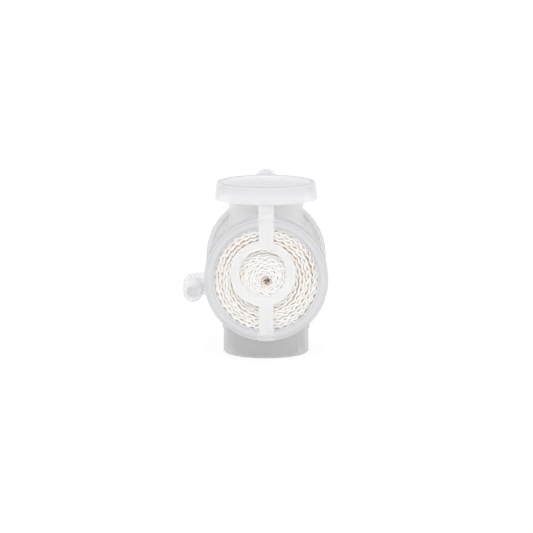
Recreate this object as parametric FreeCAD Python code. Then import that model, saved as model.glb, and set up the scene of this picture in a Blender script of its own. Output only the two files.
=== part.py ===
"""Tracheostomy heat and moisture filter: a T-shaped breathing filter for a tracheostomy tube.

A vertical airway runs from the tube socket at the base to the suction port at the top. A barrel crosses it, and holds a
roll of crimped paper at each end, behind a grille. Air is breathed through both rolls. A cap on a strap closes the
suction port, and an elbow on the left side takes an oxygen line.

Millimetres, +Z up, -Y to the front. The origin is the centre of the socket's mouth, on the surface it stands on.
"""

import FreeCAD
import Part
import math
import os

Vec = FreeCAD.Vector
RIGHT = Vec(1, 0, 0)
BACK = Vec(0, 1, 0)
UP = Vec(0, 0, 1)

# Clearances between moulded pieces
fit_gap = 0.1
seat_gap = 0.1

# Housing: the tube socket, a 15 mm bore inside a 22 mm sleeve
socket_bore = 15.4
socket_wall = 0.8
socket_depth = 12.0
sleeve_outside = 22.0
sleeve_wall = 1.0
sleeve_free_length = 6.4
sleeve_stop_step = 0.3
mouth_chamfer = 0.3

# Housing: the barrel that lies along Y
barrel_axis_height = 22.1
barrel_outside = 29.2
barrel_wall = 1.1
barrel_length = 39.0
chamber_length = 20.9
stop_rib_height = 0.9
stop_rib_width = 1.2
stop_rib_angle = 45
root_chamfer = 0.6

# Housing: the upright suction neck
neck_bore = 17.0
neck_wall = 1.1
neck_stand = 5.1
flange_outside = 24.0
flange_thickness = 1.3

# Housing: the oxygen elbow on the left side
nipple_outside = 5.0
nipple_bore = 3.2
nipple_side = 18.7
nipple_drop = 4.4
nipple_reach = 14.0
nipple_chamfer = 0.5
elbow_wall = 1.2
elbow_length = 3.5
leg_base = 7.6

# End caps with their grilles
end_cap_outside = 31.5
end_cap_skirt = 4.5
lip_thickness = 0.9
lip_dish = 0.45
rim_width = 0.5
window_dia = 26.2
grille_bar_width = 3.9
grille_bar_thickness = 1.3
grille_bar_low = 14.5
grille_ring_outside = 16.6
grille_ring_inside = 12.0
grille_ring_rise = 1.6
grille_ring_side = -0.8
edge_round = 0.3

# Strap from the front grille up to the suction cap
strap_thickness = 0.9
strap_bend = 1.2
hinge_gap = 0.15

# Suction cap
cap_outside = 26.4
cap_taper = 0.4
cap_height = 4.35
cap_skirt_wall = 0.9
cap_plate_thickness = 0.85
cap_rim_height = 0.55
cap_rim_width = 1.2
nub_radius = 1.2
nub_height = 0.25
tab_width = 3.9
tab_thickness = 1.0
tab_reach = 3.4
tab_lift = 1.0
tab_root_width = 5.4
tab_bead = 0.7
tab_web_thickness = 0.45

# Paper rolls
roll_pitch = 1.75
roll_core_radius = 1.3
paper_thickness = 0.5
crimp_height = 0.33
crimp_length = 3.5

# Sizes that follow from the driving ones
socket_radius = socket_bore / 2
socket_tube_radius = socket_radius + socket_wall
sleeve_radius = sleeve_outside / 2
sleeve_inner_radius = sleeve_radius - sleeve_wall
barrel_radius = barrel_outside / 2
barrel_inner_radius = barrel_radius - barrel_wall
barrel_half = barrel_length / 2
chamber_half = chamber_length / 2
neck_bore_radius = neck_bore / 2
neck_radius = neck_bore_radius + neck_wall
flange_radius = flange_outside / 2
end_cap_radius = end_cap_outside / 2
neck_top_height = barrel_axis_height + end_cap_radius + neck_stand
end_cap_inner_radius = barrel_radius + fit_gap
lip_back = barrel_half + seat_gap
lip_front = lip_back + lip_thickness
bar_front = lip_back + grille_bar_thickness
cap_plate_bottom = neck_top_height + seat_gap
cap_plate_top = cap_plate_bottom + cap_plate_thickness
cap_top = cap_plate_top + cap_rim_height
cap_bottom = cap_top - cap_height
cap_bottom_radius = cap_outside / 2
cap_top_radius = cap_bottom_radius - cap_taper


def at(x, y, z):
    return Vec(x, y, z)


def rod(radius, start, direction, length):
    """A solid cylinder from a point along a direction."""
    return Part.makeCylinder(radius, length, start, direction)


def turned(points, axis):
    """A solid of revolution. Points are (radius, height along the axis), from an outline with straight sides."""
    if axis is UP:
        corners = [at(r, 0, h) for r, h in points]
    else:
        corners = [at(r, h, 0) for r, h in points]
    outline = Part.makePolygon(corners + corners[:1])
    return Part.Face(outline).revolve(at(0, 0, 0), axis, 360)


def runs(points):
    """Straight runs from point to point, for an outline."""
    return Part.makePolygon(points)


def arc(start, middle, end):
    return Part.Arc(start, middle, end).toShape()


def box(x0, x1, y0, y1, z0, z1):
    return Part.makeBox(x1 - x0, y1 - y0, z1 - z0, at(x0, y0, z0))


def edges_where(shape, test):
    """The edges whose middle point passes a test."""
    chosen = []
    for edge in shape.Edges:
        middle = edge.valueAt((edge.FirstParameter + edge.LastParameter) / 2)
        if test(middle, edge):
            chosen.append(edge)
    return chosen


def oxygen_elbow():
    """A tapered leg out of the barrel's side, a round elbow, and the thinner nipple that runs forward from it."""
    corner = at(-nipple_side, 0, barrel_axis_height - nipple_drop)
    elbow_radius = nipple_bore / 2 + elbow_wall
    leg = Part.makeCone(leg_base / 2, elbow_radius, nipple_side, at(0, 0, corner.z), RIGHT * -1)
    knuckle = Part.makeSphere(elbow_radius, corner)
    stop = rod(elbow_radius, corner, BACK * -1, elbow_length)
    nipple = rod(nipple_outside / 2, corner, BACK * -1, nipple_reach)
    nipple = nipple.makeChamfer(nipple_chamfer, edges_where(nipple, lambda p, e: p.y < 0.01 - nipple_reach))
    return leg.fuse([knuckle, stop, nipple])


def oxygen_way():
    """The drillings inside the nipple and the leg. They cross in the elbow, and end at the barrel's axis."""
    corner = at(-nipple_side, 0, barrel_axis_height - nipple_drop)
    bore_radius = nipple_bore / 2
    into_chamber = rod(bore_radius, corner - RIGHT * bore_radius, RIGHT, nipple_side)
    along_nipple = rod(bore_radius, corner + BACK * bore_radius, BACK * -1, nipple_reach + nipple_bore)
    return into_chamber.fuse(along_nipple)


def housing_outside():
    """The solid outer form: barrel, neck with its flange, sleeve and oxygen elbow."""
    axis_z = barrel_axis_height
    barrel = rod(barrel_radius, at(0, -barrel_half, axis_z), BACK, barrel_length)
    neck = rod(neck_radius, at(0, 0, axis_z), UP, neck_top_height - axis_z)
    sleeve = rod(sleeve_radius, at(0, 0, 0), UP, axis_z)
    sleeve = sleeve.makeChamfer(mouth_chamfer, edges_where(sleeve, lambda p, e: p.z < 0.01 and e.Closed))
    stop_radius = sleeve_radius + sleeve_stop_step
    hose_stop = rod(stop_radius, at(0, 0, sleeve_free_length), UP, axis_z - sleeve_free_length)
    body = barrel.fuse([neck, hose_stop])

    def at_root(p, edge):
        root = neck_radius if p.z > axis_z else stop_radius
        on_barrel = abs(math.hypot(p.x, p.z - axis_z) - barrel_radius) < 0.01
        return on_barrel and abs(math.hypot(p.x, p.y) - root) < 0.01

    body = body.makeChamfer(root_chamfer, edges_where(body, at_root)).fuse(sleeve)
    flange = rod(flange_radius, at(0, 0, neck_top_height - flange_thickness), UP, flange_thickness)
    return body.fuse([flange, oxygen_elbow()])


def housing_hollow():
    """All that is open inside: the barrel, the neck, the socket and the groove round it."""
    axis_z = barrel_axis_height
    barrel = rod(barrel_radius, at(0, -barrel_half, axis_z), BACK, barrel_length)
    inside = rod(barrel_inner_radius, at(0, -barrel_half - 1, axis_z), BACK, barrel_length + 2)
    neck = rod(neck_bore_radius, at(0, 0, axis_z), UP, neck_top_height - axis_z + 1)

    socket_tube = rod(socket_tube_radius, at(0, 0, 0), UP, socket_depth)
    groove = rod(sleeve_inner_radius, at(0, 0, -1), UP, axis_z).cut(barrel)
    way_in = rod(socket_radius, at(0, 0, -1), UP, socket_depth + 2)
    mouth_radius = socket_radius + mouth_chamfer
    mouth = Part.makeCone(mouth_radius, socket_radius, mouth_chamfer, at(0, 0, 0), UP)
    around_socket = inside.fuse(groove).cut(socket_tube)
    return around_socket.fuse([neck, way_in, mouth, oxygen_way()])


def stop_ribs():
    """Four ribs along the inside of the barrel, between the two seats, that the rolls stop against."""
    reach = barrel_inner_radius + barrel_wall / 2
    ribs = []
    for quarter in range(4):
        rib = box(
            barrel_inner_radius - stop_rib_height,
            reach,
            -chamber_half,
            chamber_half,
            barrel_axis_height - stop_rib_width / 2,
            barrel_axis_height + stop_rib_width / 2,
        )
        rib.rotate(at(0, 0, barrel_axis_height), BACK, stop_rib_angle + 90 * quarter)
        ribs.append(rib)
    return ribs


def make_housing():
    """Barrel, suction neck with its flange, tube socket and oxygen elbow: one moulding."""
    return housing_outside().cut(housing_hollow()).fuse(stop_ribs()).removeSplitter()


def make_end_cap():
    """The front end cap without its strap: skirt, dished lip, upright bar and the ring set off its centre."""
    axis_z = barrel_axis_height
    window_radius = window_dia / 2
    shell = turned(
        [
            (end_cap_inner_radius, -lip_back + end_cap_skirt),
            (end_cap_inner_radius, -lip_back),
            (window_radius, -lip_back),
            (window_radius, -lip_front + lip_dish),
            (end_cap_radius - rim_width, -lip_front),
            (end_cap_radius, -lip_front),
            (end_cap_radius, -lip_back + end_cap_skirt),
        ],
        BACK,
    )
    shell.translate(at(0, 0, axis_z))

    return shell.fuse(make_grille())


def make_grille():
    """An upright bar with a ring in it, a little above the barrel's axis and to the left."""
    ring_inner = grille_ring_inside / 2
    ring_outer = grille_ring_outside / 2
    centre = at(grille_ring_side, 0, barrel_axis_height + grille_ring_rise)
    foot = centre - BACK * lip_back
    ring = rod(ring_outer, foot, BACK * -1, grille_bar_thickness)
    ring = ring.cut(rod(ring_inner, foot, BACK * -1, grille_bar_thickness))

    half_width = grille_bar_width / 2
    low = barrel_axis_height - grille_bar_low
    high = barrel_axis_height + end_cap_radius
    bar = box(-half_width, half_width, -bar_front, -lip_back, low, high)
    front_edges = edges_where(bar, lambda p, e: p.y < 0.001 - bar_front and p.z < high - edge_round)
    bar = bar.makeChamfer(edge_round, front_edges)
    ring_middle = (ring_inner + ring_outer) / 2
    bar = bar.cut(rod(ring_middle, centre - BACK * (bar_front + 1), BACK, grille_bar_thickness + 2))
    return ring.fuse(bar.Solids)


def make_strap():
    """The bar's own strip, run back over the skirt and turned up to the cap's lower edge, which it carries."""
    on_skirt = barrel_axis_height + end_cap_radius
    above = on_skirt + strap_thickness
    buried = on_skirt - strap_thickness
    skirt_end = -lip_back + end_cap_skirt
    stem_front = -cap_bottom_radius
    stem_back = stem_front + strap_thickness
    stem_top = cap_bottom - hinge_gap
    inner_bend = strap_bend - strap_thickness
    to_middle = 1 - math.sqrt(0.5)

    over_skirt = runs([at(0, skirt_end, on_skirt), at(0, skirt_end, buried), at(0, -bar_front, buried),
                       at(0, -bar_front, on_skirt), at(0, strap_thickness - bar_front, above),
                       at(0, stem_front - inner_bend, above)])
    upper_turn = arc(at(0, stem_front - inner_bend, above),
                     at(0, stem_front - inner_bend * to_middle, above + inner_bend * to_middle),
                     at(0, stem_front, above + inner_bend))
    stem = runs([at(0, stem_front, above + inner_bend), at(0, stem_front, stem_top),
                 at(0, stem_back, stem_top), at(0, stem_back, on_skirt + strap_bend)])
    lower_turn = arc(at(0, stem_back, on_skirt + strap_bend),
                     at(0, stem_back - strap_bend * to_middle, on_skirt + strap_bend * to_middle),
                     at(0, stem_back - strap_bend, on_skirt))
    under = runs([at(0, stem_back - strap_bend, on_skirt), at(0, skirt_end, on_skirt)])
    strap = Part.Face(Part.Wire([over_skirt, upper_turn, stem, lower_turn, under])).extrude(RIGHT * grille_bar_width)
    strap.translate(at(-grille_bar_width / 2, 0, 0))
    return strap.cut(rod(end_cap_inner_radius, at(0, -lip_back, barrel_axis_height), BACK, barrel_half))


def make_front_end_cap():
    """The front end cap in one piece with the strap."""
    return make_end_cap().fuse(make_strap()).removeSplitter()


def make_rear_end_cap():
    """The same cap turned half round to the back of the barrel, with no strap."""
    cap = make_end_cap().removeSplitter()
    cap.rotate(at(0, 0, 0), UP, 180)
    return cap


def make_suction_cap():
    """Round cap: a tapered skirt over the port's flange, a plate with a raised rim, and the finger tab."""
    inner_radius = cap_bottom_radius - cap_skirt_wall
    rim_inner = cap_top_radius - cap_rim_width
    body = turned(
        [
            (0, cap_plate_bottom),
            (inner_radius, cap_plate_bottom),
            (inner_radius, cap_bottom),
            (cap_bottom_radius, cap_bottom),
            (cap_top_radius, cap_top - edge_round),
            (cap_top_radius - edge_round, cap_top),
            (rim_inner, cap_top),
            (rim_inner - edge_round, cap_plate_top),
            (nub_radius, cap_plate_top),
            (nub_radius / 2, cap_plate_top + nub_height),
            (0, cap_plate_top + nub_height),
        ],
        UP,
    )
    return body.fuse(make_finger_tab()).removeSplitter()


def make_finger_tab():
    """A round-ended tongue on the cap's rear edge, thin in the middle inside a thicker bead, tilted upwards."""
    half_width = tab_width / 2
    root = cap_top_radius - cap_rim_width / 2
    straight = root + tab_reach + cap_rim_width / 2 - half_width
    base = cap_top - tab_thickness

    flare = tab_root_width / 2 - half_width

    def tongue(inset, low, high):
        end = half_width - inset
        foot = end + flare
        left, right = at(-end, straight, low), at(end, straight, low)
        sides = runs([right, at(foot, root, low), at(-foot, root, low), left])
        tip = arc(left, at(0, straight + end, low), right)
        return Part.Face(Part.Wire([sides, tip])).extrude(UP * (high - low))

    tab = tongue(0, base, cap_top)
    hollow = tongue(tab_bead, base + tab_web_thickness, cap_top + 1)
    keep_root = box(-tab_width, tab_width, root - 1, cap_top_radius + tab_bead, base, cap_top + 2)
    tab = tab.cut(hollow.cut(keep_root))
    tilt = math.degrees(math.atan2(tab_lift, tab_reach))
    tab.rotate(at(0, root, cap_top), RIGHT, tilt)
    return tab.cut(rod(cap_top_radius - cap_rim_width, at(0, 0, base - 2), UP, cap_height))


def roll_point(angle, side):
    """A point on the spiral band. Side is -1 on the inner face of the paper and +1 on the outer."""
    radius = roll_core_radius + roll_pitch * angle / (2 * math.pi)
    return radius + side * paper_thickness / 2


def roll_outline(outer_radius):
    """The crimped paper's edge: one strip wound as a spiral, with a crest every half crimp along its length."""
    middle_end = outer_radius - paper_thickness / 2 - crimp_height
    end_angle = (middle_end - roll_core_radius) * 2 * math.pi / roll_pitch
    inner_face, outer_face = [], []
    angle, crest = 0.0, 1
    while angle < end_angle:
        wave = crest * crimp_height
        inner = roll_point(angle, -1) + wave
        outer = roll_point(angle, 1) + wave
        inner_face.append(at(inner * math.cos(angle), 0, inner * math.sin(angle)))
        outer_face.append(at(outer * math.cos(angle), 0, outer * math.sin(angle)))
        angle += crimp_length / 2 / roll_point(angle, 0)
        crest = -crest
    return outer_face + inner_face[::-1]


def make_roll(near_face):
    """One roll of crimped paper, in the seat that starts at near_face and runs towards +Y."""
    outer_radius = barrel_inner_radius - fit_gap
    corners = roll_outline(outer_radius)
    length = barrel_half - chamber_half - seat_gap
    roll = Part.Face(Part.makePolygon(corners + corners[:1])).extrude(BACK * length)
    roll.translate(at(0, near_face, barrel_axis_height))
    return roll


def main():
    os.makedirs("parts", exist_ok=True)
    pieces = {
        "housing": make_housing(),
        "front_end_cap": make_front_end_cap(),
        "rear_end_cap": make_rear_end_cap(),
        "front_paper_roll": make_roll(-barrel_half),
        "rear_paper_roll": make_roll(chamber_half + seat_gap),
        "suction_cap": make_suction_cap(),
    }
    for name, shape in pieces.items():
        print(name, "solids", len(shape.Solids), "valid", shape.isValid(), "mm3", round(shape.Volume, 1))
        shape.exportStep(f"parts/{name}.step")


main()
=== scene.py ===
import bmesh
import bpy
import math
from mathutils import Matrix, Vector


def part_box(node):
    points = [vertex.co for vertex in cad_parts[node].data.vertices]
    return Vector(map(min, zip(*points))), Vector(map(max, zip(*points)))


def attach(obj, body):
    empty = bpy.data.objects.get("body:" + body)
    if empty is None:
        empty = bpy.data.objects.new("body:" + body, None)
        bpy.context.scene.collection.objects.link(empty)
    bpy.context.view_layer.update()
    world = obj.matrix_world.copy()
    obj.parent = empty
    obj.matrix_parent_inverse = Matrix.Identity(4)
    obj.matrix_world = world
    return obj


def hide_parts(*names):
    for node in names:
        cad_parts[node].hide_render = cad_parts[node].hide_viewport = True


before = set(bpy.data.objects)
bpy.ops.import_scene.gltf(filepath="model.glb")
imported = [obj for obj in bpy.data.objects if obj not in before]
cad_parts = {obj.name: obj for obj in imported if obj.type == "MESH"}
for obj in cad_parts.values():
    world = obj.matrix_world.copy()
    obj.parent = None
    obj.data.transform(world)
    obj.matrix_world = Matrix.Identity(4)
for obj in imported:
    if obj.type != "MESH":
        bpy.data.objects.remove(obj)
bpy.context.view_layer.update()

# Camera: a long lens a little above the barrel's axis, square on to the front grille, as the photographer had
# it. The lens is given in pixels of the photo, so the object has the same size in both pictures.
photo_width_px = 533
lens_px = 3277
sensor_width_mm = 36
camera_distance = 0.85
camera_elevation = math.radians(9.4)
aimed_at = Vector((0.0001, 0, 0.02215))
nearest_seen = 0.01
farthest_seen = 50

camera_data = bpy.data.cameras.new("camera")
camera_data.sensor_width = sensor_width_mm
camera_data.lens = sensor_width_mm * lens_px / photo_width_px
camera_data.clip_start = nearest_seen
camera_data.clip_end = farthest_seen
camera = bpy.data.objects.new("camera", camera_data)
bpy.context.scene.collection.objects.link(camera)
to_camera = Vector((0, -math.cos(camera_elevation), math.sin(camera_elevation)))
camera.location = aimed_at + to_camera * camera_distance
camera.rotation_euler = to_camera.to_track_quat("Z", "Y").to_euler()
bpy.context.scene.camera = camera

# Light: a white room that wraps the filter in even light, with one large soft lamp above the camera and a
# weak one to the right. Clear plastic and gloss show the room as white.
room_white = (1, 1, 1, 1)
room_light_colour = (0.985, 0.99, 1, 1)
room_light_strength = 0.88
lamp_width = 0.4
key_watts = 2.2
right_watts = 0.1
lamps_aim_at = Vector((0, 0, 0.02))


def feed(tree, value, socket):
    """Gives a socket a number or a colour, or links it to the socket that the value comes from."""
    if isinstance(value, bpy.types.NodeSocket):
        tree.links.new(value, socket)
    else:
        socket.default_value = value


def combine(tree, operation, first, second=0.0):
    """One operation of arithmetic on one or two values."""
    step = tree.nodes.new("ShaderNodeMath")
    step.operation = operation
    feed(tree, first, step.inputs[0])
    feed(tree, second, step.inputs[1])
    return step.outputs[0]


def soft_lamp(name, place, watts):
    """A round lamp that faces the filter."""
    lamp_data = bpy.data.lights.new(name, "AREA")
    lamp_data.shape = "DISK"
    lamp_data.size = lamp_width
    lamp_data.energy = watts
    lamp = bpy.data.objects.new(name, lamp_data)
    bpy.context.scene.collection.objects.link(lamp)
    lamp.location = place
    lamp.rotation_euler = (Vector(place) - lamps_aim_at).to_track_quat("Z", "Y").to_euler()


room = bpy.data.worlds.new("white_room")
room.use_nodes = True
bpy.context.scene.world = room
tree = room.node_tree
tree.nodes.clear()
seen_room = tree.nodes.new("ShaderNodeBackground")
seen_room.inputs["Color"].default_value = room_white
room_light = tree.nodes.new("ShaderNodeBackground")
room_light.inputs["Color"].default_value = room_light_colour
room_light.inputs["Strength"].default_value = room_light_strength
ray = tree.nodes.new("ShaderNodeLightPath")
camera_or_gloss = combine(tree, "MAXIMUM", ray.outputs["Is Camera Ray"], ray.outputs["Is Glossy Ray"])
or_through = combine(tree, "MAXIMUM", camera_or_gloss, ray.outputs["Is Transmission Ray"])
room_mix = tree.nodes.new("ShaderNodeMixShader")
tree.links.new(or_through, room_mix.inputs["Fac"])
tree.links.new(room_light.outputs[0], room_mix.inputs[1])
tree.links.new(seen_room.outputs[0], room_mix.inputs[2])
room_out = tree.nodes.new("ShaderNodeOutputWorld")
tree.links.new(room_mix.outputs[0], room_out.inputs["Surface"])

soft_lamp("key_lamp", (-0.04, -0.6, 0.6), key_watts)
soft_lamp("right_lamp", (0.6, -0.4, 0.3), right_watts)

# Floor: a white sheet under the filter, wide enough to fill the picture. The camera sees it nearly white,
# with only the filter's faint shadow on it.
floor_width = 12
floor_drop = 0.00005
floor_colour = (0.9, 0.9, 0.9, 1)
floor_glow = 1.05
floor_glow_share = 0.82

bpy.ops.object.select_all(action="DESELECT")
bpy.ops.mesh.primitive_plane_add(size=floor_width, location=(0, 0, 0))
floor = bpy.context.object
floor.name = "white_floor"
floor.data.transform(Matrix.Translation((0, 0, -floor_drop)))
floor_sheet = bpy.data.materials.new("floor_sheet")
floor_sheet.use_nodes = True
tree = floor_sheet.node_tree
tree.nodes.clear()
floor_lit = tree.nodes.new("ShaderNodeBsdfDiffuse")
floor_lit.inputs["Color"].default_value = floor_colour
floor_white = tree.nodes.new("ShaderNodeEmission")
floor_white.inputs["Strength"].default_value = floor_glow
ray = tree.nodes.new("ShaderNodeLightPath")
camera_or_through = combine(tree, "MAXIMUM", ray.outputs["Is Camera Ray"], ray.outputs["Is Transmission Ray"])
white_share = combine(tree, "MULTIPLY", camera_or_through, floor_glow_share)
floor_mix = tree.nodes.new("ShaderNodeMixShader")
tree.links.new(white_share, floor_mix.inputs["Fac"])
tree.links.new(floor_lit.outputs[0], floor_mix.inputs[1])
tree.links.new(floor_white.outputs[0], floor_mix.inputs[2])
floor_out = tree.nodes.new("ShaderNodeOutputMaterial")
tree.links.new(floor_mix.outputs[0], floor_out.inputs["Surface"])
floor.data.materials.append(floor_sheet)

# Housing: one moulding in frosted clear plastic, with the barrel, the suction neck, the tube socket and the
# oxygen elbow. The nipple and the foot are darker copies of the same plastic. This is painted shade for the
# light held back by the nipple's thick walls, by the foot's two tubes, one inside the other, and by the barrel
# above the foot. The nipple's front end is painted darker still.
plastic_index = 1.46
tint_unevenness = 0.015
frost_unevenness = 0.15
grain_strength = 0.5
barrel_side = -0.0147
barrel_bottom = 0.007
nipple_end = -0.0134


def spread(tree, value, start, end, at_start=0.0, at_end=1.0):
    """Turns the values from start to end into those from at_start to at_end."""
    step = tree.nodes.new("ShaderNodeMapRange")
    step.inputs["From Min"].default_value = start
    step.inputs["From Max"].default_value = end
    step.inputs["To Min"].default_value = at_start
    step.inputs["To Max"].default_value = at_end
    tree.links.new(value, step.inputs["Value"])
    return step.outputs["Result"]


def blend(tree, share, first, second, kind="RGBA", blend_type="MIX"):
    """Mixes the first colour or number with a share of the second."""
    step = tree.nodes.new("ShaderNodeMix")
    step.data_type = kind
    step.blend_type = blend_type
    feed(tree, share, step.inputs["Factor"])
    feed(tree, first, step.inputs["A"])
    feed(tree, second, step.inputs["B"])
    return step.outputs["Result"]


def moulded_plastic(name, colour, see_through, clearness, roughness, grain_size, grain_depth):
    """A moulding that lets part of the light straight through, and whose gloss is broken by a fine grain."""
    plastic = bpy.data.materials.new(name)
    plastic.use_nodes = True
    tree = plastic.node_tree
    surface = tree.nodes["Principled BSDF"]
    surface.inputs["Alpha"].default_value = 1 - see_through
    surface.inputs["Transmission Weight"].default_value = clearness
    surface.inputs["IOR"].default_value = plastic_index
    place = tree.nodes.new("ShaderNodeTexCoord")
    grain = tree.nodes.new("ShaderNodeTexNoise")
    grain.inputs["Scale"].default_value = 1 / grain_size
    grain.inputs["Detail"].default_value = 3
    tree.links.new(place.outputs["Object"], grain.inputs["Vector"])
    darker = (*[part * (1 - tint_unevenness) for part in colour], 1)
    lighter = (*[min(1, part * (1 + tint_unevenness)) for part in colour], 1)
    tree.links.new(blend(tree, grain.outputs["Fac"], darker, lighter), surface.inputs["Base Color"])
    smoothest = roughness * (1 - frost_unevenness)
    roughest = roughness * (1 + frost_unevenness)
    frost = spread(tree, grain.outputs["Fac"], 0, 1, smoothest, roughest)
    tree.links.new(frost, surface.inputs["Roughness"])
    dents = tree.nodes.new("ShaderNodeBump")
    dents.inputs["Strength"].default_value = grain_strength
    dents.inputs["Distance"].default_value = grain_depth
    tree.links.new(grain.outputs["Fac"], dents.inputs["Height"])
    tree.links.new(dents.outputs["Normal"], surface.inputs["Normal"])
    return plastic


def give_plastic(node, plastic):
    """Puts a plastic on a piece that comes from the CAD model."""
    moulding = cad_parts[node]
    if not moulding.material_slots:
        moulding.data.materials.append(plastic)
    for slot in moulding.material_slots:
        slot.material = plastic


give_plastic("housing", moulded_plastic(
    "frosted_clear_plastic", (0.98, 0.978, 0.975), see_through=0.55, clearness=0, roughness=0.3,
    grain_size=0.004, grain_depth=0.00004))
# Painted shade: darker copies of the housing plastic for the nipple, its front end and the foot.
nipple_painted_shade_plastic = moulded_plastic(
    "frosted_nipple_painted_shade_plastic", (0.91, 0.91, 0.925), see_through=0.48, clearness=0, roughness=0.4,
    grain_size=0.002, grain_depth=0.00003)
nipple_end_painted_shade_plastic = moulded_plastic(
    "frosted_nipple_end_painted_shade_plastic", (0.8, 0.8, 0.815), see_through=0.48, clearness=0, roughness=0.4,
    grain_size=0.002, grain_depth=0.00003)
foot_painted_shade_plastic = moulded_plastic(
    "frosted_foot_painted_shade_plastic", (0.79, 0.79, 0.79), see_through=0.4, clearness=0, roughness=0.3,
    grain_size=0.004, grain_depth=0.00003)
housing_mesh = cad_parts["housing"].data
nipple_slot = len(housing_mesh.materials)
nipple_end_slot = nipple_slot + 1
foot_slot = nipple_slot + 2
for plastic in (nipple_painted_shade_plastic, nipple_end_painted_shade_plastic, foot_painted_shade_plastic):
    housing_mesh.materials.append(plastic)
# The nipple, its front end and the foot get the painted-shade copies, chosen by where their faces lie.
for face in housing_mesh.polygons:
    corners = [housing_mesh.vertices[index].co for index in face.vertices]
    if min(corner.x for corner in corners) < barrel_side:
        at_end = max(corner.y for corner in corners) < nipple_end
        face.material_index = nipple_end_slot if at_end else nipple_slot
    elif min(corner.z for corner in corners) < barrel_bottom:
        face.material_index = foot_slot

# End caps: milky mouldings pushed over the barrel's two ends, each with an upright bar and a ring as its
# grille. The front one carries the suction cap's strap, and its lip is denser. Both lips are painted with
# rings of shade, with lighter lines between them, for the steps inside the lips seen through the plastic.
barrel_axis_height = 0.0221
window_radius = 0.0131
bar_half_width = 0.00195
lip_border = 0.0001
lip_alpha = 0.72
lip_edge_alpha = 0.3
lip_edge_width = 0.0008
lip_blueness = 1.02
# Painted shade on the lips: the radius of each ring and its tone.
lip_painted_shade_rings = (
    (0.0131, 0.97), (0.0134, 0.90), (0.0136, 0.70), (0.0139, 0.78),
    (0.0147, 0.80), (0.0151, 0.69), (0.01545, 0.78), (0.0157, 0.68),
)


def distance_from_barrel_axis(tree, place):
    """How far a point is from the line through the middle of both grilles."""
    across = tree.nodes.new("ShaderNodeVectorMath")
    across.operation = "MULTIPLY_ADD"
    across.inputs[1].default_value = (1, 0, 1)
    across.inputs[2].default_value = (0, 0, -barrel_axis_height)
    tree.links.new(place, across.inputs[0])
    distance = tree.nodes.new("ShaderNodeVectorMath")
    distance.operation = "LENGTH"
    tree.links.new(across.outputs["Vector"], distance.inputs[0])
    return distance.outputs["Value"]


def tone_ramp(tree, share, stops, blueness=1.0):
    """Tones along a share from 0 to 1. Each stop is a place on the way and the tone there."""
    ramp = tree.nodes.new("ShaderNodeValToRGB")
    tree.links.new(share, ramp.inputs["Fac"])
    while len(ramp.color_ramp.elements) < len(stops):
        ramp.color_ramp.elements.new(0.5)
    for stop, (way, tone) in zip(ramp.color_ramp.elements, stops):
        stop.position = way
        stop.color = (tone, tone, tone * blueness, 1)
    return ramp.outputs["Color"]


def end_cap_plastic(name, dense_lip):
    """Milky plastic with painted rings of shade on the lip. A dense lip lets less light through away from the
    window.
    """
    plastic = moulded_plastic(
        name, (0.965, 0.965, 0.972), see_through=0.5, clearness=0.15, roughness=0.42,
        grain_size=0.003, grain_depth=0.00003)
    tree = plastic.node_tree
    surface = tree.nodes["Principled BSDF"]
    own_colour = surface.inputs["Base Color"].links[0].from_socket
    place = tree.nodes.new("ShaderNodeTexCoord")
    from_axis = distance_from_barrel_axis(tree, place.outputs["Object"])
    innermost = lip_painted_shade_rings[0][0]
    lip_width = lip_painted_shade_rings[-1][0] - innermost
    over_lip = spread(tree, from_axis, innermost, innermost + lip_width)
    rings = [((radius - innermost) / lip_width, tone) for radius, tone in lip_painted_shade_rings]
    # The lip's colour is painted with these rings of shade.
    lip_painted_shade = tone_ramp(tree, over_lip, rings, lip_blueness)
    on_lip = spread(tree, from_axis, window_radius, window_radius + lip_border)
    split = tree.nodes.new("ShaderNodeSeparateXYZ")
    tree.links.new(place.outputs["Object"], split.inputs["Vector"])
    sideways = combine(tree, "ABSOLUTE", split.outputs["X"])
    beside_bar = spread(tree, sideways, bar_half_width, bar_half_width + lip_border)
    lip_share = combine(tree, "MULTIPLY", on_lip, beside_bar)
    tree.links.new(blend(tree, lip_share, own_colour, lip_painted_shade), surface.inputs["Base Color"])
    if dense_lip:
        own_alpha = surface.inputs["Alpha"].default_value
        edge_end = window_radius + lip_edge_width
        density = spread(tree, from_axis, window_radius, edge_end, lip_edge_alpha, lip_alpha)
        tree.links.new(blend(tree, lip_share, own_alpha, density, "FLOAT"), surface.inputs["Alpha"])
    return plastic


give_plastic("rear_end_cap", end_cap_plastic("milky_end_cap_plastic", dense_lip=False))
give_plastic("front_end_cap", end_cap_plastic("milky_front_cap_plastic", dense_lip=True))

# Suction cap: a soft milky moulding that snaps over the neck's flange, with a finger tab at the back. Its
# colour is painted with faint level bands of shade where the steps inside its skirt show through, and with a
# darker band of shade at its raised rim.
# Painted shade: bands up the cap, each a share of its height and the tone there.
cap_painted_shade_bands = (
    (0.0, 1.0), (0.42, 1.0), (0.47, 0.93), (0.52, 0.99), (0.57, 0.92), (0.62, 0.97),
    (0.67, 0.9), (0.72, 0.95), (0.77, 0.92), (0.785, 0.7), (0.805, 0.7), (0.84, 0.92),
)

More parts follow.
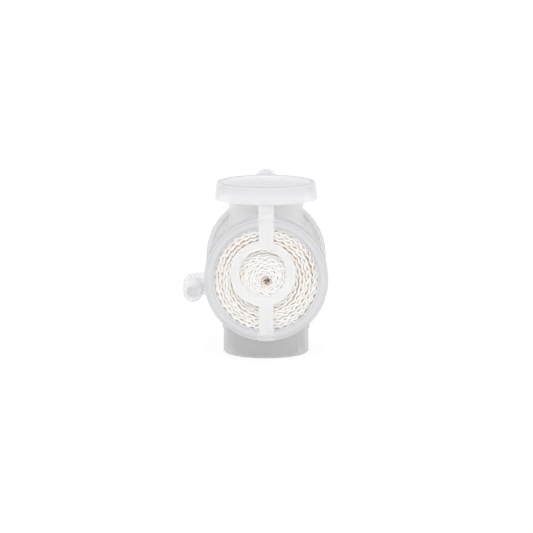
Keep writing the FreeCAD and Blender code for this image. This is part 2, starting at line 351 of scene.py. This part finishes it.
cap_plastic = moulded_plastic(
    "milky_cap_plastic", (0.92, 0.92, 0.935), see_through=0.45, clearness=0.15, roughness=0.45,
    grain_size=0.003, grain_depth=0.00003)
cap_low, cap_high = (corner.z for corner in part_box("suction_cap"))
tree = cap_plastic.node_tree
surface = tree.nodes["Principled BSDF"]
own_colour = surface.inputs["Base Color"].links[0].from_socket
place = tree.nodes.new("ShaderNodeTexCoord")
split = tree.nodes.new("ShaderNodeSeparateXYZ")
tree.links.new(place.outputs["Object"], split.inputs["Vector"])
up_cap = spread(tree, split.outputs["Z"], cap_low, cap_high)
# The cap's colour is darkened by the painted bands of shade.
bands = tone_ramp(tree, up_cap, cap_painted_shade_bands)
banded = blend(tree, 1, own_colour, bands, blend_type="MULTIPLY")
tree.links.new(banded, surface.inputs["Base Color"])
give_plastic("suction_cap", cap_plastic)

# Paper rolls: one long strip of white crimped paper for each end of the barrel, wound up on itself until it
# fills the bore. Neighbouring turns touch at their crimps and leave small slits between them.
paper_thickness = 0.0006
edge_share = 0.7
edge_taper = 0.0006
edge_gap = 0.0003
crimp_length = 0.0021
crimp_height = 0.00013
crimp_steps = 8
crimp_rows = 6
crimp_slant = 1.3
wander_size = 0.0019
wander_height = 0.00014
wander_depth = 0.0009
outside_growth = 0.9
roll_radius = 0.01345
core_radius = 0.0003
core_drop = 0.0008
sunk_radius = 0.0013
sunk_depth = 0.0008
tight_pitch = 0.00052
loose_pitch = 0.00083
tight_share = 0.42
loosening_share = 0.18
squeezes = ((0.00007, 1.7, 0), (0.00005, 2.9, 1))
winding_step = math.radians(20)
spare_line = 0.002
sharpest_curve = math.radians(50)
same_place = 0.00001

roll_front, roll_back = (corner.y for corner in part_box("front_paper_roll"))
roll_middle = (roll_front + roll_back) / 2
seat_depth = roll_back - roll_front
strip_depth = seat_depth - edge_gap

# The line that the strip is wound along: a flat spiral with a low core, tight inside the grille's ring and
# looser outside it, and squeezed a little out of round. Its last turn follows the bore.
spiral = []
angle = 0.0
radius = core_radius
last_turn = roll_radius - paper_thickness / 2 - crimp_height
last_turn_left = 2 * math.pi
while last_turn_left > 0:
    turn_radius = radius + sum(size * math.sin(waves * angle + start) for size, waves, start in squeezes)
    outward = (radius - core_radius) / (last_turn - core_radius)
    middle_height = -core_drop * (1 - outward)
    spiral.append((turn_radius * math.cos(angle), middle_height + turn_radius * math.sin(angle), 0, 1))
    angle += winding_step
    looseness = min(1, max(0, (outward - tight_share) / loosening_share))
    pitch = tight_pitch + (loose_pitch - tight_pitch) * looseness
    radius += pitch * winding_step / (2 * math.pi)
    if radius > last_turn:
        radius = last_turn
        last_turn_left -= winding_step
spiral_data = bpy.data.curves.new("winding_line", "CURVE")
spiral_data.dimensions = "2D"
spiral_data.resolution_u = 6
winding = spiral_data.splines.new("NURBS")
winding.points.add(len(spiral) - 1)
for point, place in zip(winding.points, spiral):
    point.co = place
winding.order_u = 4
winding.use_endpoint_u = True
winding_line = bpy.data.objects.new("winding_line", spiral_data)
bpy.context.scene.collection.objects.link(winding_line)
bpy.context.view_layer.update()
measured = bpy.data.meshes.new_from_object(winding_line)
stops = [vert.co for vert in measured.vertices]
winding_length = sum((b - a).length for a, b in zip(stops, stops[1:]))
bpy.data.meshes.remove(measured)

# One crimp of the strip, standing on edge: a grid whose columns are moved out into a wave and whose rows
# slant, so that no slit runs straight through the roll. The strip's two cut edges are thinner than the rest.
bpy.ops.object.select_all(action="DESELECT")
bpy.ops.mesh.primitive_grid_add(
    x_subdivisions=crimp_steps, y_subdivisions=crimp_rows, size=1, rotation=(math.pi / 2, 0, 0))
front_roll = bpy.context.object
front_roll.name = "front_wound_paper"
bpy.ops.object.transform_apply(location=False, rotation=True, scale=False)
bpy.ops.object.mode_set(mode="EDIT")
bpy.ops.mesh.select_all(action="SELECT")
bpy.ops.transform.translate(value=(0.5, 0, 0))
bpy.ops.transform.resize(value=(crimp_length, 1, strip_depth), center_override=(0, 0, 0))
thick_part = front_roll.vertex_groups.new(name="thick_part")


def choose(piece, wanted):
    """Selects the points of a piece in edit mode that a test picks out."""
    work = bmesh.from_edit_mesh(piece.data)
    for vert in work.verts:
        vert.select = wanted(vert.co)
    work.select_flush_mode()
    bmesh.update_edit_mesh(piece.data)


row_height = strip_depth / crimp_rows
for end in (-1, 1):
    choose(front_roll, lambda co: abs(co.z - end * (strip_depth / 2 - row_height)) < same_place)
    bpy.ops.transform.translate(value=(0, 0, end * (row_height - edge_taper)))
choose(front_roll, lambda co: abs(co.z) < strip_depth / 2 - edge_taper / 2)
bpy.ops.object.vertex_group_assign()
step_length = crimp_length / crimp_steps
for column in range(crimp_steps + 1):
    column_x = crimp_length * column / crimp_steps
    choose(front_roll, lambda co: abs(co.x - column_x) < step_length / 4)
    bpy.ops.transform.translate(value=(0, crimp_height * math.sin(2 * math.pi * column / crimp_steps), 0))
for row_z in sorted({round(vert.co.z, 6) for vert in bmesh.from_edit_mesh(front_roll.data).verts}):
    choose(front_roll, lambda co: abs(co.z - row_z) < same_place)
    bpy.ops.transform.translate(value=(crimp_slant * row_z, 0, 0))
bpy.ops.object.mode_set(mode="OBJECT")

# The crimps repeat along the strip, which wanders a little and waves more towards its outer end. It is wound
# along the line and gets its thickness. What would reach past the bore or the seat's ends is pressed against
# them, and the turns at the core lie a little sunk.
along = front_roll.modifiers.new("along_strip", "ARRAY")
along.use_relative_offset = False
along.use_constant_offset = True
along.constant_offset_displace = (crimp_length, 0, 0)
along.count = int((winding_length - spare_line) / crimp_length)
along.use_merge_vertices = True
along.merge_threshold = same_place
wander_clouds = bpy.data.textures.new("paper_wander", "CLOUDS")
wander_clouds.noise_scale = wander_size
for direction, strength in (("Y", wander_height), ("Z", wander_depth)):
    wander = front_roll.modifiers.new("wander_" + direction, "DISPLACE")
    wander.texture = wander_clouds
    wander.texture_coords = "LOCAL"
    wander.direction = direction
    wander.strength = strength
deeper = front_roll.modifiers.new("deeper_outside", "SIMPLE_DEFORM")
deeper.deform_method = "TAPER"
deeper.deform_axis = "X"
deeper.lock_z = True
deeper.factor = outside_growth
wind = front_roll.modifiers.new("wind", "CURVE")
wind.object = winding_line
wind.deform_axis = "POS_X"
thick = front_roll.modifiers.new("thickness", "SOLIDIFY")
thick.thickness = paper_thickness
thick.offset = 0
thick.vertex_group = thick_part.name
thick.thickness_vertex_group = edge_share
for modifier in list(front_roll.modifiers):
    bpy.ops.object.modifier_apply(modifier=modifier.name)
bpy.data.objects.remove(winding_line)
for vert in front_roll.data.vertices:
    off_axis = math.hypot(vert.co.x, vert.co.y)
    if off_axis > roll_radius:
        vert.co.x *= roll_radius / off_axis
        vert.co.y *= roll_radius / off_axis
    vert.co.z = max(-seat_depth / 2, min(seat_depth / 2, vert.co.z))
    if math.hypot(vert.co.x, vert.co.y + core_drop) < sunk_radius:
        vert.co.z *= 1 - 2 * sunk_depth / strip_depth
bpy.ops.object.mode_set(mode="EDIT")
bpy.ops.mesh.select_all(action="SELECT")
bpy.ops.mesh.normals_make_consistent(inside=False)
bpy.ops.object.mode_set(mode="OBJECT")
bpy.ops.object.shade_smooth_by_angle(angle=sharpest_curve)

# The winding stands on its end, so it is laid along the barrel and moved into the front seat. The rear roll
# is a copy of it, turned half round.
front_roll.data.transform(Matrix.Rotation(math.pi / 2, 4, "X"))
front_roll.data.transform(Matrix.Translation((0, roll_middle, barrel_axis_height)))
rear_roll = front_roll.copy()
rear_roll.data = front_roll.data.copy()
rear_roll.name = "rear_wound_paper"
bpy.context.scene.collection.objects.link(rear_roll)
rear_roll.data.transform(Matrix.Rotation(math.pi, 4, "Z"))

# The paper's finish: matt with a nap of fibres, and white at the cut edges, at the bore and partly at the
# hub. Deeper inside the slits it is painted light brown. This is painted light and shade, for the warm light
# that has gone through paper and the shade between the turns.
paper_roughness = 0.85
paper_shine = 0.2
# Painted light and shade: the warm brown that the paper takes deep inside the slits.
painted_slit_light_and_shade = (0.94, 0.82, 0.71, 1)
daylight_colour = (0.855, 0.847, 0.83, 1)
brown_from_edge = 0.0008
white_from_edge = 0.0001
brown_from_bore = 0.0005
white_from_bore = 0.0002
hub_radius = 0.0022
hub_border = 0.0004
hub_whiteness = 0.55
fibres_per_metre = 1500
nap_strength = 0.4
nap_height = 0.00002

crimped_paper = bpy.data.materials.new("crimped_paper")
crimped_paper.use_nodes = True
tree = crimped_paper.node_tree
surface = tree.nodes["Principled BSDF"]
surface.inputs["Roughness"].default_value = paper_roughness
surface.inputs["Specular IOR Level"].default_value = paper_shine
place = tree.nodes.new("ShaderNodeTexCoord")
split = tree.nodes.new("ShaderNodeSeparateXYZ")
tree.links.new(place.outputs["Object"], split.inputs["Vector"])
either_roll = combine(tree, "ABSOLUTE", split.outputs["Y"])
from_middle = combine(tree, "SUBTRACT", either_roll, abs(roll_middle))
either_edge = combine(tree, "ABSOLUTE", from_middle)
half_depth = strip_depth / 2
near_edge = spread(tree, either_edge, half_depth - brown_from_edge, half_depth - white_from_edge)
from_axis = distance_from_barrel_axis(tree, place.outputs["Object"])
near_bore = spread(tree, from_axis, roll_radius - brown_from_bore, roll_radius - white_from_bore)
near_hub = spread(tree, from_axis, hub_radius + hub_border, hub_radius, 0, hub_whiteness)
at_border = combine(tree, "MAXIMUM", near_edge, near_bore)
in_daylight = combine(tree, "MAXIMUM", at_border, near_hub)
# Deep in the slits the paper is painted with the brown of light and shade. At the edges, bore and hub it keeps
# its own colour.
paper_colour = blend(tree, in_daylight, painted_slit_light_and_shade, daylight_colour)
tree.links.new(paper_colour, surface.inputs["Base Color"])
fibres = tree.nodes.new("ShaderNodeTexNoise")
fibres.inputs["Scale"].default_value = fibres_per_metre
fibres.inputs["Detail"].default_value = 4
tree.links.new(place.outputs["Object"], fibres.inputs["Vector"])
nap = tree.nodes.new("ShaderNodeBump")
nap.inputs["Strength"].default_value = nap_strength
nap.inputs["Distance"].default_value = nap_height
tree.links.new(fibres.outputs["Fac"], nap.inputs["Height"])
tree.links.new(nap.outputs["Normal"], surface.inputs["Normal"])

for roll, node in ((front_roll, "front_paper_roll"), (rear_roll, "rear_paper_roll")):
    roll.data.materials.clear()
    roll.data.materials.append(crimped_paper)
    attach(roll, "filter")
    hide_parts(node)

# The picture: white stays white, and light may cross up to a dozen walls of clear plastic before it leaves
# the filter, or go on between the turns of the paper.
most_bounces = 40
most_paper_bounces = 12
bpy.context.scene.view_settings.view_transform = "Standard"
bpy.context.scene.cycles.max_bounces = most_bounces
bpy.context.scene.cycles.transmission_bounces = most_bounces
bpy.context.scene.cycles.diffuse_bounces = most_paper_bounces
